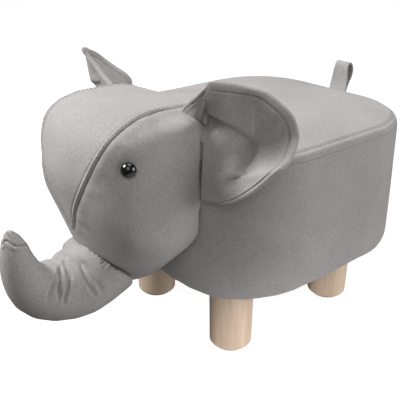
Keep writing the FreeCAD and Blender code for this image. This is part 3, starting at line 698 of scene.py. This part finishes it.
headLook = {
    "voxel": 3.2 * mm, "smooth": 6, "pressure": 4.0, "cap": 2.6 * mm, "clear": 0.6 * mm,
    # the gusset's left seam: over the top, then down the front as x and z, in millimetres
    "seamTop": ((57, -50, 300), (58.5, -79.5, 306), (58, -103.7, 308.5), (61, -127.8, 307), (63, -152, 299.5)),
    "seamFront": ((61.6, 290.9), (57, 274.6), (48.8, 255.5), (37.7, 234.3), (20, 209.1), (5, 184)),
    "seamMesh": (9 * mm, 4 * mm), "seamStep": 0.5 * mm, "nearSeam": 20 * mm, "castFrom": -0.6,
    "gussetWay": (-1.0, 0, 0.4),
    # the seam and the stitch row beside it: place, height and width, in millimetres
    "seam": ((-0.3, -2.6, 0.95), (3, 0.9, 2.2), (-6, 0.5, 5)), "welt": 6.2 * mm, "weltDent": ((0, -0.7, 1.0),),
    "pucker": 1.5 * mm, "puckerSize": (0.012, 0.03 / 0.7), "puckerShift": 3.7, "puckerWide": 10 * mm,
    "wave": (1.1 * mm, 0.06, (2.2, 8.4, 0.9)),
    # fuller shoulders with a tight corner under each ear, and a fuller right brow
    "shoulder": (78 * mm, -74 * mm, 288 * mm), "shoulderWay": (0.78, -0.05, 0.62),
    "shoulderWide": 36 * mm, "shoulderOut": 6.5 * mm,
    "corner": (87 * mm, -75 * mm, 300 * mm), "cornerWide": 18 * mm, "cornerOut": 7 * mm,
    "brow": (-68 * mm, -132 * mm, 276 * mm), "browWay": (-0.62, -0.76, 0.1),
    "browWide": 40 * mm, "browOut": 4.5 * mm,
    "tuck": 3.2 * mm, "tuckWide": 12 * mm, "tuckFrom": (0.1, 0.12), "tuckTo": (-0.158, -0.138),
}


def keepOffSeat(obj, clear):
    # the soft head lies flat against the seat where the two meet
    places = pointsOf(obj)
    inset, depth = planInset(places) + clear, seatLook["edge"] + crownAt(places) + clear - places[:, 2]
    inside = (inset > 0) & (depth > 0)
    upward = inside & (depth < inset)
    sideways = inside & ~upward
    places[upward, 2] += depth[upward]
    places[sideways, :2] += planWay(places[sideways]) * inset[sideways, None]
    setPoints(obj, places)


def seamOn(obj, look):
    tree = surfaceOf(obj)
    line = [tree.find_nearest(Vector(p) * mm)[0] for p in look["seamTop"]]
    for x, z in look["seamFront"]:
        line.append(tree.ray_cast(Vector((x * mm, look["castFrom"], z * mm)), Vector((0, 1, 0)))[0])
    return smoothLine(line, look["seamStep"])


def tuckIn(obj, trunk, look):
    # the cheeks draw in where the trunk is sewn to them
    tree, places, shift = surfaceOf(trunk), pointsOf(obj), []
    for place in places:
        spot, normal, _, far = tree.find_nearest(Vector(place), 3 * look["tuckWide"])
        outside = spot is not None and (Vector(place) - spot).dot(normal) > 0
        shift.append(0 if spot is None else look["tuck"] * bell(far if outside else 0.0, look["tuckWide"]))
    level = smoothStep(places[:, 2], *look["tuckFrom"]) * smoothStep(-places[:, 2], *look["tuckTo"])
    setPoints(obj, places - normalsOf(obj) * (level * shift)[:, None])


def fillHead(head, look):
    places = pointsOf(head)
    for sign in (1, -1):
        side = np.array([sign, 1, 1])
        full = bellAround(places, look["shoulder"] * side, look["shoulderWide"])
        tight = bellAround(places, look["corner"] * side, look["cornerWide"])
        out = look["shoulderOut"] * full + look["cornerOut"] * tight
        places += out[:, None] * np.array(look["shoulderWay"]) * side
    brow = bellAround(places, look["brow"], look["browWide"])
    places += look["browOut"] * brow[:, None] * np.array(look["browWay"])
    setPoints(head, places)


def makeHead(trunk):
    look = headLook
    head = copyOfNode("head_stuffing", "headCushion")
    swell(head, look)
    fillHead(head, look)
    keepOffSeat(head, look["clear"])
    tuckIn(head, trunk, look)
    line = seamOn(head, look)
    for reach in look["seamMesh"]:
        refineNear(head, np.vstack([line, mirrored(line)]), reach)
    # both seams are shaped at once, with the right half folded onto the left
    places, normals = pointsOf(head), normalsOf(head)
    folded, outward = places.copy(), normals.copy()
    folded[:, 0] = np.abs(folded[:, 0])
    outward[:, 0] *= np.sign(places[:, 0])
    distance, mark = nearLine(folded, line)
    away = folded - line[mark]
    side = unit(np.cross(np.gradient(line, axis=0)[mark], outward))
    across = np.where(np.einsum("ij,ij->i", away, side) < 0, -distance, distance)
    near = distance < look["nearSeam"]
    if np.mean(across[near] * (away[near] @ np.array(look["gussetWay"]))) < 0:
        across = -across  # above 0 on the gusset's side
    shift = seamProfile(across, look["seam"]) + seamProfile(across - look["welt"], look["weltDent"])
    run, long, wide = mark * look["seamStep"], *look["puckerSize"]
    pucker = np.array([noise.noise(Vector((r / long, d / wide, s))) for r, d, s in
                       zip(run, across, np.sign(places[:, 0]) * look["puckerShift"])])
    shift += look["pucker"] * pucker * bell(across + look["puckerWide"], look["puckerWide"])
    shift += waves(places, *look["wave"])
    setPoints(head, places + normals * shift[:, None])
    keepOffSeat(head, look["clear"])
    aside = unit(np.cross(np.gradient(line, axis=0), onSurface(head, line)[1]))
    aside *= np.where(aside[:, :1] > 0, -1, 1)  # towards the gusset
    row = line + look["welt"] * aside
    return head, [onSurface(head, row), onSurface(head, mirrored(row))]


earLook = {
    # rim and sewn edge, each a share along the ear and a place in millimetres, from the head's top seam round
    "left": {
        "rim": (
            (0, 64, -76.5, 307.5), (0.06, 80.1, -79.6, 320.9), (0.12, 98.6, -83.9, 333),
            (0.18, 113.6, -86.8, 343.5), (0.22, 115.8, -83.7, 347.2), (0.26, 116.9, -73.4, 345.8),
            (0.3, 118.7, -62.3, 343.7),
            (0.37, 124.9, -44.2, 338.9), (0.44, 137.3, -30.4, 333.4), (0.5, 151.8, -19.1, 320.3),
            (0.55, 158.4, -11.8, 308.5), (0.61, 162.5, -8.4, 292.2), (0.65, 165.9, -14, 282.7),
            (0.7, 170, -23.5, 275.3), (0.745, 173.5, -36.8, 270.2), (0.79, 171.2, -45.1, 264.3),
            (0.85, 158.8, -50.9, 248.9), (0.9, 145.6, -55.6, 234.7), (0.935, 133, -58.5, 225.4),
            (0.965, 122, -63.5, 219.4), (0.985, 109, -66, 216), (1, 98, -72, 214.5)),
        "sewn": (
            (0, 64, -76.5, 307.5), (0.06, 74, -76.5, 309), (0.12, 83, -75.5, 309), (0.18, 90, -74, 307),
            (0.22, 94, -73, 303.5), (0.26, 96, -73, 298), (0.30, 97, -73, 291), (0.37, 97, -73, 282),
            (0.5, 92, -72.5, 268), (1, 90, -72, 214)),
        "sign": 1, "forms": 1.0, "belly": 0.0, "snap": 0.36,
    },
    "right": {
        "rim": (
            (0, 64, -76.5, 305.5), (0.06, 80.5, -79, 315.5), (0.12, 96.5, -81.8, 327), (0.18, 110, -84.7, 339),
            (0.22, 115.5, -86, 344), (0.30, 123, -77, 342), (0.37, 140, -65, 336.5), (0.44, 157, -50, 330.5),
            (0.50, 169, -36, 323), (0.56, 165, -24.5, 313), (0.62, 156, -14, 303), (0.67, 149, -5, 295),
            (0.73, 146.5, 1, 283.5), (0.79, 151, -7, 268.5), (0.85, 149.5, -23, 255), (0.91, 138.5, -41, 239),
            (0.96, 118, -57.5, 224), (1, 97, -72, 214)),
        "sewn": (
            (0, 64, -76.5, 305.5), (0.06, 74, -76.5, 307), (0.12, 83, -75.5, 307), (0.18, 90, -74, 305),
            (0.22, 94, -73, 301.5), (0.26, 96, -73, 296), (0.30, 97, -73, 290), (0.37, 97, -73, 282),
            (0.5, 92, -72.5, 268), (1, 90, -72, 214)),
        "sign": -1, "forms": 0.35, "belly": 7.0, "snap": 0.56,
    },
    "cells": (170, 104), "crowd": 0.85, "snapFade": 0.09, "snapReach": 12, "sink": 1.2,
    # the upper flap stands forward along the ridge, the outer lobe turns forward out of the valley,
    # and the cloth sinks in a pocket below the top corner; all in millimetres
    "ridge": ((0.225, 0.12), (0.285, 0.26), (0.36, 0.39), (0.46, 0.48), (0.57, 0.55)),
    "flapOut": 4.5, "flapFade": 18, "backIn": 8.0, "backFade": 13, "ridgeWide": 3.2, "ridgeRound": (6, 2.4),
    "ridgeFrom": (0.0, 0.3), "ridgeTo": (-0.15, 0.5),
    "valley": ((0.57, 0.54), (0.65, 0.50), (0.73, 0.47), (0.81, 0.45), (0.90, 0.44)),
    "valleyIn": 12.0, "lobeFade": 14, "valleyWide": 8.0, "valleyRound": (8, 2.8),
    "valleyFrom": (-0.2, 0.3), "valleyTo": (0, 0.35), "bellyFrom": (0.25, 0.42), "bellyTo": (0.05, 0.3),
    "pocket": ((108, -78, 326), (104, -76.5, 314), (98, -74, 298)), "pocketWide": 11,
    "pocketAt": (0, 12, 30), "pocketIn": (3, 12, 13),
    # thickness: a round rim, a dent along the stitch row, thinner inside and at the top corner
    "thick": 5.6, "thin": 3.8, "thinFrom": (9, 20), "rimRound": 2.8,
    "stitchIn": 9.0, "stitchDent": 1.5, "stitchWide": 1.1, "stitchedFrom": 24, "dentFull": 30,
    "rimSwell": 0.4, "rimSwellIn": 4.5, "rimSwellWide": 3.0,
    "rimWave": (0.35, 1.0, (2.7, 0, 0)), "rimWaves": 150, "rimWaveIn": 5, "rimWaveWide": 4,
    "fullFrom": 6, "tipFrom": (-0.01, 0.05),
    "cornerAt": 0.21, "cornerWide": 0.035, "cornerThin": 0.4,
}


def earLine(table, shares):
    table = np.array(table)
    fine = smoothLine(table[:, 1:], 0.5)
    run = lengthsAlong(table[:, 1:])
    at = np.interp(shares, table[:, 0], run / run[-1])
    return readAlong(at, np.linspace(0, 1, len(fine)), fine)


def gridNormals(places):
    return unit(np.cross(np.gradient(places, axis=0), np.gradient(places, axis=1)))


def facingAhead(ways):
    return ways * -np.sign(ways[ways.shape[0] // 2, ways.shape[1] // 2, 1])


def evened(grid, rounds):
    # each cell takes the mean of itself and its neighbours
    for _ in range(rounds):
        wide = np.pad(grid, [(1, 1), (1, 1)] + [(0, 0)] * (grid.ndim - 2), mode="edge")
        grid = (2 * grid + wide[:-2, 1:-1] + wide[2:, 1:-1] + wide[1:-1, :-2] + wide[1:-1, 2:]) / 6
    return grid


def rounded(distance, soft, less):
    # a distance with its sharp turn at 0 taken off
    return np.sqrt(distance * distance + soft) - less


def earForms(shape, leaf, ahead):
    look = earLook
    flat, ways = leaf.reshape(-1, 3), ahead.reshape(-1, 3)
    offsets = {}
    for name in ("ridge", "valley"):
        spots = smoothLine([(*place, 0) for place in look[name]], 0.005)
        inner = earLine(shape["sewn"], spots[:, 0])
        line = inner + (earLine(shape["rim"], spots[:, 0]) - inner) * spots[:, 1:2]
        distance, mark = nearLine(flat, line)
        outward = np.cross(np.gradient(line, axis=0)[mark], ways)
        side = np.sign(np.einsum("ij,ij->i", outward, flat - line[mark]))
        offsets[name] = distance * side, mark / (len(line) - 1)
    d, share = offsets["ridge"]
    d = d * np.sign(d[np.argmax(flat[:, 2])])  # above 0 towards the top rim
    soft = rounded(d, *look["ridgeRound"])
    step = bell(d, look["ridgeWide"])
    upper = look["flapOut"] * np.exp(-soft / look["flapFade"])
    lower = look["flapOut"] * step - look["backIn"] * (1 - step) * np.exp(-soft / look["backFade"])
    lift = np.where(d > 0, upper, lower) * smoothStep(1 - share, *look["ridgeTo"])
    lift *= smoothStep(share, *look["ridgeFrom"])
    d, share = offsets["valley"]
    d = d * np.sign(d[np.argmax(flat[:, 0])])  # above 0 towards the outer rim
    soft = rounded(d, *look["valleyRound"])
    hollow = np.where(d > 0, np.exp(-soft / look["lobeFade"]), bell(d, look["valleyWide"]))
    ends = smoothStep(share, *look["valleyFrom"]) * smoothStep(1 - share, *look["valleyTo"])
    lift -= look["valleyIn"] * hollow * ends
    distance, mark = nearLine(flat, smoothLine(look["pocket"], 1.0))
    lift -= np.interp(mark, look["pocketAt"], look["pocketIn"]) * bell(distance, look["pocketWide"])
    return evened(lift.reshape(leaf.shape[:2]), 3)


def earHalf(s, span, inFrom):
    # half the leaf's thickness, from how far a point is in from the rim
    look = earLook
    edge = np.minimum(inFrom / look["rimRound"], 1)
    half = 0.5 * look["thick"] * np.sqrt(1 - (1 - edge) ** 2)
    dent = look["stitchDent"] * np.minimum(1, span / look["dentFull"])[:, None] ** 2
    half = half - dent * bell(inFrom - look["stitchIn"], look["stitchWide"])
    half = half + look["rimSwell"] * bell(inFrom - look["rimSwellIn"], look["rimSwellWide"])
    rimWave = waves(np.column_stack([look["rimWaves"] * s, 0 * s, 0 * s]), *look["rimWave"])
    half = half + rimWave[:, None] * bell(inFrom - look["rimWaveIn"], look["rimWaveWide"])
    half = half - (look["thick"] - look["thin"]) / 2 * smoothStep(inFrom, *look["thinFrom"])
    ends = np.minimum(1, span / look["fullFrom"]) * smoothStep(1 - s, *look["tipFrom"])
    corner = 1 - look["cornerThin"] * bell(s - look["cornerAt"], look["cornerWide"])
    return np.maximum(half, 0) * (ends * corner)[:, None]


def sewnTo(head, line, sign):
    # the sewn edge lies just under the head's cloth
    tree, found = surfaceOf(head), line.copy()
    for k, place in enumerate(line):
        spot, normal, _, far = tree.find_nearest(Vector(place * (sign, 1, 1)) * mm)
        if far < earLook["snapReach"] * mm:
            found[k] = np.array(spot - earLook["sink"] * mm * normal) * (sign, 1, 1) / mm
    return found


def makeEar(side, head):
    look, shape = earLook, earLook[side]
    rows, cells = look["cells"]
    s, t = np.linspace(0, 1, rows + 1), np.linspace(0, 1, cells + 1) ** look["crowd"]
    rim, sewn = earLine(shape["rim"], s), earLine(shape["sewn"], s)
    free = shape["snap"] + look["snapFade"]
    top = s < free
    keep = smoothStep(s[top], shape["snap"], free)[:, None]
    sewn[top] = sewnTo(head, sewn[top], shape["sign"]) * (1 - keep) + sewn[top] * keep
    span = np.linalg.norm(rim - sewn, axis=1)
    leaf = sewn[:, None, :] + (rim - sewn)[:, None, :] * t[None, :, None]
    ahead = facingAhead(gridNormals(leaf))
    lift = shape["forms"] * earForms(shape, leaf, ahead)
    full = smoothStep(s, *look["bellyFrom"]) * smoothStep(1 - s, *look["bellyTo"])
    lift += shape["belly"] * full[:, None] * (4 * t * (1 - t))[None, :]
    leaf = leaf + ahead * lift[:, :, None]
    ahead = facingAhead(unit(evened(gridNormals(leaf), 4)))
    half = earHalf(s, span, span[:, None] * (1 - t)[None, :])
    front, back = leaf + ahead * half[:, :, None], leaf - ahead * half[:, :, None]
    flip = np.array([shape["sign"], 1, 1])
    stitched = [(r, 1 - look["stitchIn"] / span[r]) for r in np.flatnonzero(span > look["stitchedFrom"])]
    runs = []
    for skin, ways in ((front, ahead), (back, -ahead)):
        runs.append((np.array([readAlong(at, t, skin[r]) for r, at in stitched]) * flip * mm,
                     np.array([readAlong(at, t, ways[r]) for r, at in stitched]) * flip))
    around = np.concatenate([front, back[:, ::-1], front[:, :1]], axis=1) * flip * mm
    deselectAll()
    bpy.ops.mesh.primitive_grid_add(x_subdivisions=around.shape[1] - 1, y_subdivisions=rows, size=1)
    ear = bpy.context.object
    ear.name = "earLeaf_" + side
    setPoints(ear, around)
    editAll(ear)
    bpy.ops.mesh.remove_doubles(threshold=0.00002)
    bpy.ops.mesh.dissolve_degenerate(threshold=0.00001)
    bpy.ops.mesh.normals_make_consistent(inside=False)
    closeEdit()
    bpy.ops.object.shade_smooth()
    print(ear.name, "sewn,", len(ear.data.vertices), "points")
    return ear, runs


tailLook = {
    "foot": 14 * mm, "head": 11 * mm, "thick": 2.0 * mm, "round": 0.5 * mm, "cells": 20,
    "y": 252.2 * mm, "low": 260 * mm, "high": 302 * mm, "leanOver": 3.0 * mm, "aside": 3.5 * mm,
    # the folded strip seen from the side: backwards and up, in millimetres from its foot
    "side": ((-6.5, -7), (-5.4, 0), (-3.6, 7), (-2.6, 15), (-3.4, 26), (-3.6, 34), (-2.2, 39.2), (1.6, 40.8),
             (5, 38.4), (7.6, 33), (7.8, 27), (5.6, 20), (1.8, 14), (-1.4, 7), (-3.4, 0), (-4.5, -7)),
}


def makeTail():
    look = tailLook
    path = smoothLine([(0, look["y"] + a * mm, look["low"] + b * mm) for a, b in look["side"]], 1.2 * mm)
    deselectAll()
    bpy.ops.mesh.primitive_grid_add(x_subdivisions=look["cells"], y_subdivisions=len(path) - 1, size=1)
    tail = bpy.context.object
    tail.name = "tailStrap"
    up = smoothStep(path[:, 2], look["low"] + 6 * mm, look["high"])
    half = look["foot"] + (look["head"] - look["foot"]) * up
    places = np.repeat(path[:, None, :], look["cells"] + 1, axis=1)
    places[:, :, 0] = half[:, None] * np.linspace(-1, 1, look["cells"] + 1)
    places[:, :, 0] += look["aside"] + (up * look["leanOver"])[:, None]
    setPoints(tail, places)
    finishWith(tail, "SOLIDIFY", thickness=look["thick"], offset=0)
    finishWith(tail, "BEVEL", width=look["round"], segments=2, limit_method="ANGLE")
    editAll(tail)
    bpy.ops.mesh.normals_make_consistent(inside=False)
    closeEdit()
    bpy.ops.object.shade_smooth_by_angle(angle=sharpAngle)
    print("tail strap folded")
    return tail


dustLook = {
    "inset": 9.5 * mm, "z": 92.4 * mm, "thick": 0.8 * mm, "cells": (110, 120),
    "legs": ((78.6, -15.7), (-78.6, -15.7), (78.6, 167.3), (-78.6, 167.3)), "legClear": (0.028, 0.058),
    "sag": 2.2 * mm, "sagIn": (0.01, 0.06), "wave": (0.5 * mm, 0.045, (1.1, 3.7, 0)),
    "pucker": (1.0, 0.016, (5.5, 0.4, 2.0)), "puckerBy": 0.35 * mm, "puckerIn": 13 * mm, "puckerWide": 6 * mm,
}


def makeDustCover():
    # one cut of thin cloth, stapled near its edge and held by the legs, slack in between
    look = dustLook
    low, high = (np.array(corner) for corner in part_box("dust_cover"))
    deselectAll()
    bpy.ops.mesh.primitive_grid_add(x_subdivisions=look["cells"][0], y_subdivisions=look["cells"][1], size=1)
    cover = bpy.context.object
    cover.name = "dustCover"
    places = low + (pointsOf(cover) + 0.5) * (high - low)
    over = np.maximum(look["inset"] - planInset(places), 0)
    places[:, :2] -= planWay(places) * over[:, None]
    inFrom = planInset(places) - look["inset"]
    slack = smoothStep(inFrom, *look["sagIn"])
    for x, y in look["legs"]:
        slack *= smoothStep(np.hypot(places[:, 0] - x * mm, places[:, 1] - y * mm), *look["legClear"])
    places[:, 2] = look["z"] - look["sag"] * slack - slack * waves(places, *look["wave"])
    puckers = np.maximum(waves(places * (1, 1, 0), *look["pucker"]), 0)
    places[:, 2] -= look["puckerBy"] * puckers * bell(inFrom - look["puckerIn"], look["puckerWide"])
    setPoints(cover, places)
    editAll(cover)
    bpy.ops.mesh.remove_doubles(threshold=0.0003)
    bpy.ops.mesh.dissolve_degenerate(threshold=0.0001)
    closeEdit()
    finishWith(cover, "SOLIDIFY", thickness=look["thick"], offset=0)
    editAll(cover)
    bpy.ops.mesh.normals_make_consistent(inside=False)
    closeEdit()
    bpy.ops.object.shade_smooth_by_angle(angle=sharpAngle)
    print("dust cover stretched")
    return cover


setStage()
dressCadNodes()

seat = makeSeat()
ridesOn(seat, "stool", greySuede)
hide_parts("seat_top_cover", "side_band", "seat_foam", "side_foam")
sewStitches("seatStitches", [seatStitchRun(seat)], "stool")

trunk = makeTrunk()
ridesOn(trunk, "stool", greySuede)
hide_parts("trunk_skin_left", "trunk_skin_right", "trunk_stuffing")

head, gussetRuns = makeHead(trunk)
ridesOn(head, "stool", greySuede)
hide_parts("forehead_gusset", "cheek_left", "cheek_right", "head_stuffing")
sewStitches("gussetStitches", gussetRuns, "stool")

for side in ("left", "right"):
    ear, runs = makeEar(side, head)
    ridesOn(ear, None, greySuede)
    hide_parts("ear_" + side)
    stitches = sewStitches("earStitches_" + side, runs, None)
    for piece in (ear, stitches):  # the ear and its stitches are baked where they stand, on no body
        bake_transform(piece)

tail = makeTail()
ridesOn(tail, None, greySuede)
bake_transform(tail)
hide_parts("tail_strap")

dust = makeDustCover()
ridesOn(dust, "stool", blackDustCloth)
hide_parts("dust_cover")
